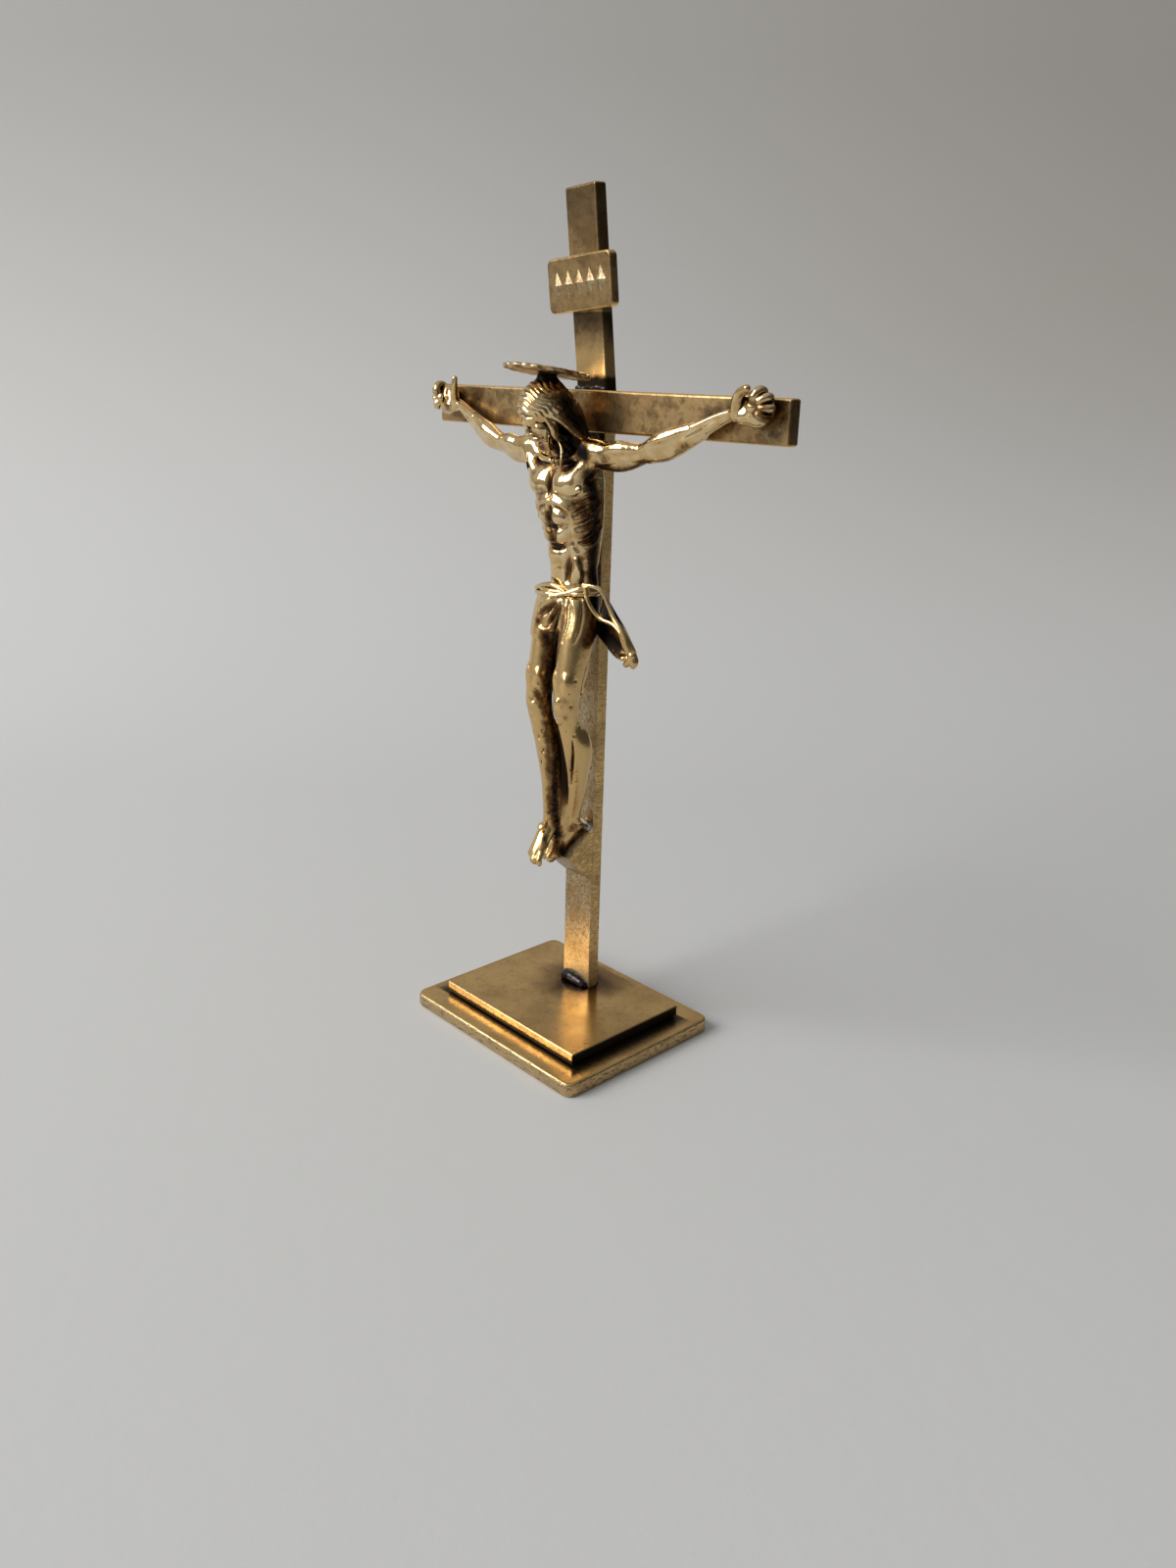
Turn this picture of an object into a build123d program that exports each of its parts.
# Standing crucifix of antiqued brass: two stacked base plates, a soldered cross and a cast corpus.
# Millimetres. +Z is up, the corpus faces -Y, the origin is the centre of the base's underside.
import os
from math import cos, pi, sin

from build123d import *

# Base plates
lower_plate_width = 54.6
lower_plate_depth = 44.7
lower_plate_thickness = 3.4
lower_plate_corner_radius = 2.4
lower_plate_edge_radius = 0.7
upper_plate_width = 44.0
upper_plate_depth = 33.2
upper_plate_thickness = 2.6
upper_plate_edge_chamfer = 0.2
plate_seam_thickness = 0.25
plate_seam_setback = 0.7

# Post, standing behind the middle of the base
post_width = 8.9
post_depth = 3.0
post_offset = -2.05
post_setback = 8.1
post_edge_chamfer = 0.15
foot_bead_height = 1.1
foot_bead_reach = 1.3

# Crossbar, soldered across the front of the post
crossbar_length = 101.0
crossbar_height = 8.2
crossbar_thickness = 2.8
crossbar_top_level = 141.8
crossbar_offset = 0.9
crossbar_edge_radius = 0.55
cross_bead_height = 2.3
cross_bead_reach = 1.5

# Top arm, a separate short bar that leans a little
top_arm_rise = 38.2
top_arm_lean_front = 3.0
top_arm_lean_side = 4.2
top_arm_edge_radius = 0.5

# Title plate on the front of the top arm
title_plate_width = 18.5
title_plate_height = 10.4
title_plate_thickness = 1.8
title_plate_bottom = 15.1
title_plate_corner_radius = 1.3
title_plate_edge_radius = 0.45

# Foot rest, a wedge on the front of the post
foot_rest_top_level = 47.6
foot_rest_height = 13.4
foot_rest_reach = 7.0
foot_rest_nose = 0.5

# Corpus
figure_offset = -1.0
body_gap = 1.5
chest_width = 16.4
chest_depth = 10.4
hip_offset = 1.0
leg_spread = 4.7
knee_reach = 10.7
thigh_width = 8.2
foot_width = 5.2
foot_thickness = 4.4
shoulder_reach = 8.4
neck_width = 5.6
head_width = 9.6
head_depth = 11.4
head_height = 13.6
head_reach = 11.9
head_sway = -1.5
arm_width = 4.9
left_hand_inset = 6.0
right_hand_inset = 4.7
right_hand_drop = 1.3
palm_width = 7.0
palm_height = 7.4
palm_thickness = 4.6
finger_width = 1.7

# Halo
halo_diameter = 17.6
halo_thickness = 1.0
halo_lobe_diameter = 1.5
halo_lobe_count = 26
halo_stem_diameter = 2.4
halo_stem_height = 1.0
halo_tilt_front = 8.0
halo_tilt_side = 1.0

# Rope and hanging end of the loincloth
rope_diameter = 1.4
knot_diameter = 2.7
tail_reach = 13.0
tail_drop = 14.0
tail_width = 4.2
tail_thickness = 2.0

# Nails
nail_shank_diameter = 1.0
nail_head_diameter = 2.2
nail_head_height = 0.7
nail_bite_depth = 2.0

# Small places on the corpus, as shares of the sizes that they follow
palm_rise_share = 0.3
palm_seat_share = 0.3
finger_front_share = 0.36
neck_reach_share = 0.66
neck_level_share = 0.880
head_level_share = 0.966
shoulder_level_share = 0.893
shoulder_gap_share = 4.0
shoulder_ball_share = 0.54
rope_level_share = 0.612
rope_round_share = 0.3
knot_side_share = 0.13
nail_entry_share = 0.8
nail_side_share = -0.25
nail_head_share = 2.0

# Places worked out from the sizes above
seam_level = lower_plate_thickness
upper_plate_level = seam_level + plate_seam_thickness
base_top = upper_plate_level + upper_plate_thickness
post_front = post_setback - post_depth / 2
crossbar_front = post_front - crossbar_thickness
crossbar_middle = crossbar_top_level - crossbar_height / 2
crossbar_bottom = crossbar_top_level - crossbar_height
palm_level = crossbar_middle + crossbar_height * palm_rise_share
foot_rest_nose_level = foot_rest_top_level - foot_rest_height / 2
foot_level = foot_rest_nose_level
figure_reach = palm_level - foot_level


def level(share):
    """Height of a place on the corpus, as a share of the way from the foot rest to the palms."""
    return foot_level + share * figure_reach


def at_side(side, share):
    """Place across the corpus, as a share of the leg spread on one side."""
    return figure_offset + side * share * leg_spread


def flat_section(x, y, z, width, depth):
    """Level ellipse, as a section of the trunk or a leg."""
    return Pos(x, y, z) * Ellipse(width / 2, depth / 2)


def path_lofts(points, widths, depths, across):
    """Loft along a run of points, with an ellipse square to the run at each."""
    sections = []
    for index, point in enumerate(points):
        before = points[max(index - 1, 0)]
        after = points[min(index + 1, len(points) - 1)]
        plane = Plane(origin=point, x_dir=across, z_dir=after - before)
        sections.append(plane * Ellipse(widths[index] / 2, depths[index] / 2))
    return loft(sections)


def ellipsoid(x, y, z, width, depth, height):
    """Egg form of the given full sizes about a centre."""
    return Pos(x, y, z) * scale(Sphere(1), by=(width / 2, depth / 2, height / 2))


def plate(width, depth, thickness, bottom):
    """Flat block centred on the base, resting at a height."""
    return Pos(0, 0, bottom) * Box(width, depth, thickness, align=(Align.CENTER, Align.CENTER, Align.MIN))


def rounded_block(block, radius):
    """Block with every edge rounded."""
    return fillet(block.edges(), radius)


def make_lower_plate():
    """Bottom plate, with round corners and edges."""
    block = plate(lower_plate_width, lower_plate_depth, lower_plate_thickness, 0)
    block = fillet(block.edges().filter_by(Axis.Z), lower_plate_corner_radius)
    rims = block.faces().sort_by(Axis.Z)[-1].edges() + block.faces().sort_by(Axis.Z)[0].edges()
    return fillet(rims, lower_plate_edge_radius)


def make_plate_seam():
    """Solder layer between the two plates, set back from the upper plate's edge."""
    width = upper_plate_width - 2 * plate_seam_setback
    depth = upper_plate_depth - 2 * plate_seam_setback
    return plate(width, depth, plate_seam_thickness, seam_level)


def make_upper_plate():
    """Upper plate, with crisp edges."""
    block = plate(upper_plate_width, upper_plate_depth, upper_plate_thickness, upper_plate_level)
    return chamfer(block.edges(), upper_plate_edge_chamfer)


def make_post():
    """Post from the upper plate to the middle of the crossbar."""
    rise = crossbar_middle - base_top
    block = Pos(post_offset, post_setback, base_top + rise / 2) * Box(post_width, post_depth, rise)
    return chamfer(block.edges().filter_by(Axis.Z), post_edge_chamfer)


def make_foot_bead(post):
    """Solder bead round the foot of the post."""
    skirt = Rectangle(post_width + 2 * foot_bead_reach, post_depth + 2 * foot_bead_reach)
    skirt = fillet(skirt.vertices(), foot_bead_reach / 2)
    collar = Rectangle(post_width + foot_bead_reach / 2, post_depth + foot_bead_reach / 2)
    collar = fillet(collar.vertices(), foot_bead_reach / 8)
    foot = Pos(post_offset, post_setback, base_top)
    return loft([foot * skirt, foot * Pos(0, 0, foot_bead_height) * collar]) - post


def make_crossbar():
    """Crossbar, with soft edges."""
    centre = Pos(crossbar_offset, crossbar_front + crossbar_thickness / 2, crossbar_middle)
    bar = Box(crossbar_length, crossbar_thickness, crossbar_height)
    return centre * rounded_block(bar, crossbar_edge_radius)


def top_arm_place():
    """Frame of the top arm: its front face is at Y 0, and the crossbar's top is at Z 0."""
    return Pos(post_offset, post_front, crossbar_top_level) * Rot(top_arm_lean_front, -top_arm_lean_side, 0)


def make_top_arm():
    """Short bar above the crossbar. Its foot is filed to the crossbar's back and to the post's end."""
    rise = top_arm_rise + crossbar_height
    centre = Pos(0, post_depth / 2, top_arm_rise - rise / 2)
    bar = top_arm_place() * centre * rounded_block(Box(post_width, post_depth, rise), top_arm_edge_radius)
    below = Pos(post_offset, post_setback, crossbar_middle - crossbar_height)
    bar -= below * Box(crossbar_length, crossbar_length, 2 * crossbar_height)
    front = Pos(post_offset, post_front - crossbar_thickness, crossbar_middle)
    return bar - front * Box(crossbar_length, 2 * crossbar_thickness, crossbar_height)


def make_cross_bead(up, *neighbours):
    """Solder fillet in the corner between the crossbar and the bar behind it."""
    start = crossbar_top_level if up > 0 else crossbar_bottom
    back = post_front + post_depth / 2
    corner = start - up * crossbar_edge_radius
    tip = start + up * cross_bead_height
    outline = Polyline(
        (0, back, corner), (0, post_front - cross_bead_reach, corner),
        (0, post_front - cross_bead_reach, start), (0, post_front - cross_bead_reach / 3, tip),
        (0, back, tip), close=True,
    )
    width = post_width - 2 * top_arm_edge_radius
    bead = extrude(make_face(outline), amount=width / 2, dir=(1, 0, 0), both=True)
    bead = Pos(post_offset, 0, 0) * bead
    for neighbour in neighbours:
        bead -= neighbour
    return bead.solids().sort_by(Axis.Y)[0]


def make_title_plate():
    """Bare plate with round corners on the front of the top arm."""
    block = Box(title_plate_width, title_plate_thickness, title_plate_height)
    block = fillet(block.edges().filter_by(Axis.Y), title_plate_corner_radius)
    block = fillet(block.faces().sort_by(Axis.Y)[0].edges(), title_plate_edge_radius)
    rise = title_plate_bottom + title_plate_height / 2
    return top_arm_place() * Pos(0, -title_plate_thickness / 2, rise) * block


def make_foot_rest():
    """Wedge with a blunt nose, as wide as the post."""
    nose_top = foot_rest_nose_level + foot_rest_nose / 2
    nose_bottom = foot_rest_nose_level - foot_rest_nose / 2
    nose = post_front - foot_rest_reach
    outline = Polyline(
        (0, post_front, foot_rest_top_level), (0, nose, nose_top), (0, nose, nose_bottom),
        (0, post_front, foot_rest_top_level - foot_rest_height), close=True,
    )
    wedge = extrude(make_face(outline), amount=post_width / 2, dir=(1, 0, 0), both=True)
    return Pos(post_offset, 0, 0) * wedge


# Trunk: height, shift to the left hip, width, depth and gap behind it, as shares of the corpus height,
# the hip shift, the chest and the body gap
hip_shares = (0.600, 1.0, 0.80, 0.80, 0.9)
trunk_shares = [
    (0.905, 0.0, 0.30, 0.46, 2.2),
    (0.890, 0.0, 0.86, 0.70, 1.6),
    (0.860, 0.0, 1.00, 0.88, 1.5),
    (0.815, 0.0, 0.97, 1.00, 1.5),
    (0.765, 0.1, 0.87, 0.97, 1.4),
    (0.705, 0.4, 0.74, 0.82, 1.1),
    (0.650, 0.8, 0.70, 0.74, 1.0),
    hip_shares,
    (0.550, 0.6, 0.84, 0.84, 0.9),
    (0.515, 0.2, 0.72, 0.72, 1.2),
]

# Legs: height, side, reach forward, width and depth, as shares of the corpus height, leg spread,
# knee reach and thigh width. The figure's right leg comes first.
leg_shares = {
    -1: [
        (0.590, 0.72, 0.62, 0.80, 0.88), (0.530, 0.82, 0.72, 0.82, 0.90), (0.450, 0.92, 0.88, 0.72, 0.80),
        (0.395, 0.97, 0.98, 0.66, 0.69), (0.362, 0.97, 1.00, 0.64, 0.66), (0.325, 0.87, 0.96, 0.58, 0.62),
        (0.265, 0.68, 0.84, 0.62, 0.70), (0.185, 0.45, 0.83, 0.47, 0.52), (0.102, 0.37, 0.83, 0.37, 0.42),
        (0.067, 0.38, 0.82, 0.40, 0.52),
    ],
    1: [
        (0.590, 0.80, 0.62, 0.88, 0.92), (0.530, 0.94, 0.68, 0.98, 1.02), (0.450, 1.00, 0.85, 0.86, 0.90),
        (0.395, 1.02, 0.97, 0.72, 0.74), (0.365, 1.02, 0.99, 0.69, 0.70), (0.330, 1.06, 0.91, 0.62, 0.66),
        (0.270, 1.14, 0.72, 0.72, 0.78), (0.185, 0.80, 0.52, 0.53, 0.58), (0.101, 0.25, 0.40, 0.40, 0.44),
        (0.064, 0.10, 0.36, 0.42, 0.54),
    ],
}

# Feet: side, reach forward, height, width and thickness along the foot, from heel to toes
foot_shares = {
    -1: [
        (0.39, 0.725, 0.081, 0.60, 0.72), (0.37, 0.945, 0.058, 0.78, 0.98),
        (0.29, 1.165, 0.018, 0.98, 0.80), (0.23, 1.305, -0.014, 0.90, 0.42),
    ],
    1: [
        (0.09, 0.265, 0.077, 0.60, 0.72), (-0.05, 0.445, 0.049, 0.78, 0.92),
        (-0.23, 0.665, 0.011, 0.94, 0.72), (-0.33, 0.805, -0.019, 0.84, 0.40),
    ],
}

# Loincloth round the right hip: height, side, gap behind, width and depth
cloth_shares = [
    (0.622, -0.22, 0.7, 0.74, 0.86),
    (0.585, -0.45, 0.6, 0.80, 1.00),
    (0.545, -0.66, 0.7, 0.66, 1.02),
    (0.512, -0.80, 0.9, 0.52, 0.96),
]

# Hair over the back of the head and the shoulders: height, sway, reach, width and depth
hair_shares = [
    (1.004, 1.00, 0.94, 0.62, 0.62),
    (0.972, 0.90, 0.84, 1.06, 0.86),
    (0.938, 0.60, 0.74, 1.16, 0.78),
    (0.905, 0.10, 0.66, 1.28, 0.62),
    (0.872, -0.20, 0.56, 1.20, 0.40),
]

# Beard: height, sway, reach, width and depth
beard_shares = [
    (0.930, 1.00, 1.20, 0.62, 0.50),
    (0.903, 0.96, 1.24, 0.50, 0.40),
    (0.878, 0.92, 1.20, 0.16, 0.16),
]

# Hanging cloth end: way out, way back, drop and girth
tail_shares = [
    (0.0, 0.0, 0.0, 0.30), (0.42, 0.6, 0.22, 0.85), (0.75, 1.0, 0.50, 1.00), (0.92, 1.0, 0.80, 0.80),
    (1.0, 0.9, 1.0, 0.62),
]

# Arms: share of the way from the shoulder to the palm across, in height and in depth, then thickness
arm_shares = [
    (0.0, 0.0, 0.0, 1.00), (0.10, 0.04, 0.06, 1.00), (0.22, 0.09, 0.22, 0.88), (0.34, 0.14, 0.42, 0.78),
    (0.42, 0.22, 0.50, 0.82), (0.54, 0.38, 0.66, 0.78), (0.68, 0.60, 0.80, 0.64), (0.82, 0.84, 0.92, 0.50),
    (0.94, 0.97, 1.00, 0.58),
]

# Fingers curled over each palm: start and end, across and up, as shares of the palm's half size
finger_shares = [
    ((0.60, 0.80), (0.05, 0.72)),
    ((0.88, 0.30), (0.12, 0.28)),
    ((0.88, -0.20), (0.12, -0.18)),
    ((0.66, -0.68), (0.02, -0.58)),
]
thumb_shares = ((-0.55, -0.10), (-0.62, 0.95))


def from_post(reach):
    """Place in front of the post's front face."""
    return post_front - reach


def make_trunk():
    """Neck, chest, waist and hips in one loft."""
    sections = []
    for height, shift, width, depth, gap in trunk_shares:
        full_depth = depth * chest_depth
        x = figure_offset + shift * hip_offset
        y = from_post(gap * body_gap + full_depth / 2)
        sections.append(flat_section(x, y, level(height), width * chest_width, full_depth))
    return loft(sections)


def make_leg(side):
    """One leg from the hip to the ankle."""
    sections = []
    for height, across, reach, width, depth in leg_shares[side]:
        y = from_post(reach * knee_reach)
        x = at_side(side, across)
        sections.append(flat_section(x, y, level(height), width * thigh_width, depth * thigh_width))
    return loft(sections)


def make_foot(side):
    """One foot, pointing down the slope of the foot rest."""
    points = []
    for across, reach, height, _, _ in foot_shares[side]:
        points.append(Vector(at_side(side, across), from_post(reach * knee_reach), level(height)))
    widths = [row[3] * foot_width for row in foot_shares[side]]
    depths = [row[4] * foot_thickness for row in foot_shares[side]]
    return path_lofts(points, widths, depths, (1, 0, 0))


def make_head():
    """Skull, neck, hair and beard. The head bows forward and to the figure's right."""
    skull_x = figure_offset + head_sway
    skull_y = from_post(head_reach)
    skull_z = level(head_level_share)
    skull = ellipsoid(skull_x, skull_y, skull_z, head_width, head_depth, head_height)
    neck_foot = Vector(figure_offset, from_post(head_reach * neck_reach_share), level(neck_level_share))
    neck_top = Vector(skull_x, skull_y, skull_z)
    neck = path_lofts([neck_foot, neck_top], [neck_width, neck_width], [neck_width, neck_width], (1, 0, 0))
    hair = []
    for height, sway, reach, width, depth in hair_shares:
        x = figure_offset + sway * head_sway
        y = from_post(reach * head_reach)
        hair.append(flat_section(x, y, level(height), width * head_width, depth * head_depth))
    beard = []
    for height, sway, reach, width, depth in beard_shares:
        x = figure_offset + sway * head_sway
        y = from_post(reach * head_reach)
        beard.append(flat_section(x, y, level(height), width * head_width, depth * head_depth))
    return [skull, neck, loft(hair), loft(beard)]


def make_loincloth():
    """Cloth wrapped round the right hip."""
    sections = []
    for height, across, gap, width, depth in cloth_shares:
        full_depth = depth * chest_depth
        y = from_post(gap * body_gap + full_depth / 2)
        x = figure_offset + across * leg_spread
        sections.append(flat_section(x, y, level(height), width * chest_width, full_depth))
    return loft(sections)


def make_body(foot_rest):
    """Body casting: trunk, head, legs, feet, loincloth and rope, filed to the arms and the foot rest."""
    body = make_trunk()
    for side in (-1, 1):
        body += make_leg(side)
        body += make_foot(side)
    for form in make_head():
        body += form
    body += make_loincloth()
    for side in (-1, 1):
        shoulder = shoulder_point(side)
        body += Pos(shoulder) * Sphere(arm_width * shoulder_ball_share)
        beyond = Pos(shoulder.X + side * chest_width / 2, shoulder.Y, shoulder.Z)
        body -= beyond * Box(chest_width, 2 * chest_depth, 2 * arm_width)
    body += make_rope()
    body += make_tail()
    return body - foot_rest


def shoulder_point(side):
    """Middle of one shoulder joint, where the arm is soldered on."""
    x = figure_offset + side * shoulder_reach
    return Vector(x, from_post(shoulder_gap_share * body_gap + arm_width / 2), level(shoulder_level_share))


def palm_point(side):
    """Middle of one palm, on the crossbar's front. The right hand hangs lower than the left."""
    inset = left_hand_inset if side > 0 else right_hand_inset
    drop = 0 if side > 0 else right_hand_drop
    x = crossbar_offset + side * (crossbar_length / 2 - inset)
    return Vector(x, crossbar_front - palm_thickness * palm_seat_share, palm_level - drop)


def make_arm(side):
    """One arm with its hand, filed flat where the hand lies on the crossbar. The right one is mirrored."""
    run = palm_point(side) - shoulder_point(side)
    run = Vector(side * run.X, run.Y, run.Z)
    shoulder = shoulder_point(1)
    palm = shoulder + run
    sections = []
    for across, rise, ahead, thickness in arm_shares:
        point = shoulder + Vector(across * run.X, ahead * run.Y, rise * run.Z)
        plane = Plane(origin=point, x_dir=(0, 1, 0), z_dir=(1, 0, 0))
        sections.append(plane * Circle(thickness * arm_width / 2))
    arm = loft(sections) + ellipsoid(palm.X, palm.Y, palm.Z, palm_width, palm_thickness, palm_height)
    front = palm.Y - palm_thickness * finger_front_share
    half_width = palm_width / 2
    half_height = palm_height / 2
    for (start_x, start_z), (end_x, end_z) in finger_shares:
        start = Vector(palm.X + start_x * half_width, palm.Y, palm.Z + start_z * half_height)
        end = Vector(palm.X + end_x * half_width, front, palm.Z + end_z * half_height)
        arm += make_finger(start, end)
    (root_x, root_z), (tip_x, tip_z) = thumb_shares
    root = Vector(palm.X + root_x * half_width, palm.Y, palm.Z + root_z * half_height)
    tip = Vector(palm.X + tip_x * half_width, palm.Y, palm.Z + tip_z * half_height)
    arm += make_finger(root, tip)
    behind = Pos(palm.X, crossbar_front + palm_thickness, palm.Z)
    arm -= behind * Box(run.X, 2 * palm_thickness, 2 * palm_height)
    return arm if side > 0 else to_other_side(arm)


def to_other_side(shape):
    """Mirror copy on the figure's right."""
    return mirror(shape, about=Plane(origin=(figure_offset, 0, 0), z_dir=(1, 0, 0)))


def make_finger(start, end):
    """Finger as a round bar with a round tip."""
    bar = Plane(origin=start, z_dir=end - start) * Cylinder(
        finger_width / 2, (end - start).length, align=(Align.CENTER, Align.CENTER, Align.MIN)
    )
    return bar + Pos(end) * Sphere(finger_width / 2)


def crown_point():
    """Top of the head, where the halo's stem stands."""
    return Vector(figure_offset + head_sway, from_post(head_reach), level(head_level_share) + head_height / 2)


def halo_place():
    """Frame of the halo: the disc's underside is at Z 0."""
    crown = crown_point()
    return Pos(crown.X, crown.Y, crown.Z + halo_stem_height) * Rot(-halo_tilt_front, halo_tilt_side, 0)


def make_halo():
    """Disc with a beaded rim."""
    disc = Cylinder(halo_diameter / 2, halo_thickness, align=(Align.CENTER, Align.CENTER, Align.MIN))
    ring = (halo_diameter - halo_lobe_diameter) / 2
    for lobe in PolarLocations(ring, halo_lobe_count):
        disc += lobe * Pos(0, 0, halo_thickness / 2) * Sphere(halo_lobe_diameter / 2)
    return halo_place() * disc


def make_halo_stem():
    """Short pin under the halo, set in a hole in the crown of the head."""
    drop = halo_stem_height + head_height / 4
    pin = Cylinder(halo_stem_diameter / 2, drop, align=(Align.CENTER, Align.CENTER, Align.MAX))
    return halo_place() * pin


def hip_section():
    """Centre, half width and half depth of the hips where the rope goes round."""
    _, shift, width, depth, gap = hip_shares
    centre = Vector(
        figure_offset + shift * hip_offset,
        from_post(gap * body_gap + depth * chest_depth / 2),
        level(rope_level_share),
    )
    return centre, width * chest_width / 2, depth * chest_depth / 2


def knot_point():
    """Place of the knot, at the front of the left hip."""
    centre, half_width, half_depth = hip_section()
    turn = knot_side_share * pi
    return centre + Vector(half_width * cos(turn), -half_depth * sin(turn), 0)


def make_rope():
    """Rope round the hips, as a round-edged band, with its knot."""
    centre, half_width, half_depth = hip_section()
    girth = Ellipse(half_width + rope_diameter / 2, half_depth + rope_diameter / 2)
    band = extrude(girth, amount=rope_diameter / 2, both=True)
    band = fillet(band.edges().filter_by(GeomType.ELLIPSE), rope_diameter * rope_round_share)
    return Pos(centre) * band + Pos(knot_point()) * Sphere(knot_diameter / 2)


def make_tail():
    """Hanging end of the loincloth at the left hip."""
    knot = knot_point()
    out = Vector(tail_reach, post_depth / 2, -tail_drop)
    points = []
    for across, back, drop, _ in tail_shares:
        points.append(knot + Vector(across * out.X, back * out.Y, drop * out.Z))
    widths = [row[3] * tail_width for row in tail_shares]
    depths = [row[3] * tail_thickness for row in tail_shares]
    return path_lofts(points, widths, depths, (0, 1, 0))


def make_nail(length):
    """Nail with a domed head: its head sits on Z 0 and its shank points down."""
    shank = Cylinder(nail_shank_diameter / 2, length, align=(Align.CENTER, Align.CENTER, Align.MAX))
    dome = scale(Sphere(1), by=(nail_head_diameter / 2, nail_head_diameter / 2, nail_head_height))
    dome -= Cylinder(nail_head_diameter, nail_head_height * 2, align=(Align.CENTER, Align.CENTER, Align.MAX))
    return shank + dome


def hand_nail_frame(side):
    """Frame of one hand's nail: Z points out of the palm."""
    palm = palm_point(side)
    return Plane(origin=(palm.X, palm.Y - palm_thickness / 2, palm.Z), x_dir=(1, 0, 0), z_dir=(0, -1, 0))


def foot_nail_frame():
    """Frame of the foot nail, square to the slope of the foot rest."""
    rise = foot_rest_top_level - foot_rest_nose_level - foot_rest_nose / 2
    slope = Vector(0, -rise, foot_rest_reach).normalized()
    entry_level = foot_rest_top_level - rise * nail_entry_share
    entry = Vector(at_side(1, nail_side_share), from_post(foot_rest_reach * nail_entry_share), entry_level)
    return Plane(origin=entry + slope * foot_thickness * nail_head_share, x_dir=(1, 0, 0), z_dir=slope)


os.makedirs("parts", exist_ok=True)

post = make_post()
crossbar = make_crossbar()
top_arm = make_top_arm()
foot_rest = make_foot_rest()
body = make_body(foot_rest)
halo_stem = make_halo_stem()
body -= halo_stem
foot_nail = foot_nail_frame() * make_nail(foot_thickness * nail_head_share + nail_bite_depth)
body -= foot_nail
foot_rest -= foot_nail
arms = {}
hand_nails = []
for side in (-1, 1):
    nail = hand_nail_frame(side) * make_nail(palm_thickness + nail_bite_depth)
    arms[side] = make_arm(side) - nail
    crossbar -= nail
    hand_nails.append(nail)

nodes = {
    "base_lower_plate": make_lower_plate(),
    "base_plate_seam": make_plate_seam(),
    "base_upper_plate": make_upper_plate(),
    "post": post,
    "post_foot_solder": make_foot_bead(post),
    "crossbar": crossbar,
    "top_arm": top_arm,
    "crossbar_solder_above": make_cross_bead(1, top_arm, crossbar),
    "crossbar_solder_below": make_cross_bead(-1, post, crossbar),
    "title_plate": make_title_plate(),
    "foot_rest": foot_rest,
    "corpus_body": body,
    "corpus_left_arm": arms[1],
    "corpus_right_arm": arms[-1],
    "halo_disc": make_halo(),
    "halo_stem": halo_stem,
    "hand_nails": Compound(children=hand_nails),
    "foot_nail": foot_nail,
}

for name, shape in nodes.items():
    export_step(shape, f"parts/{name}.step")
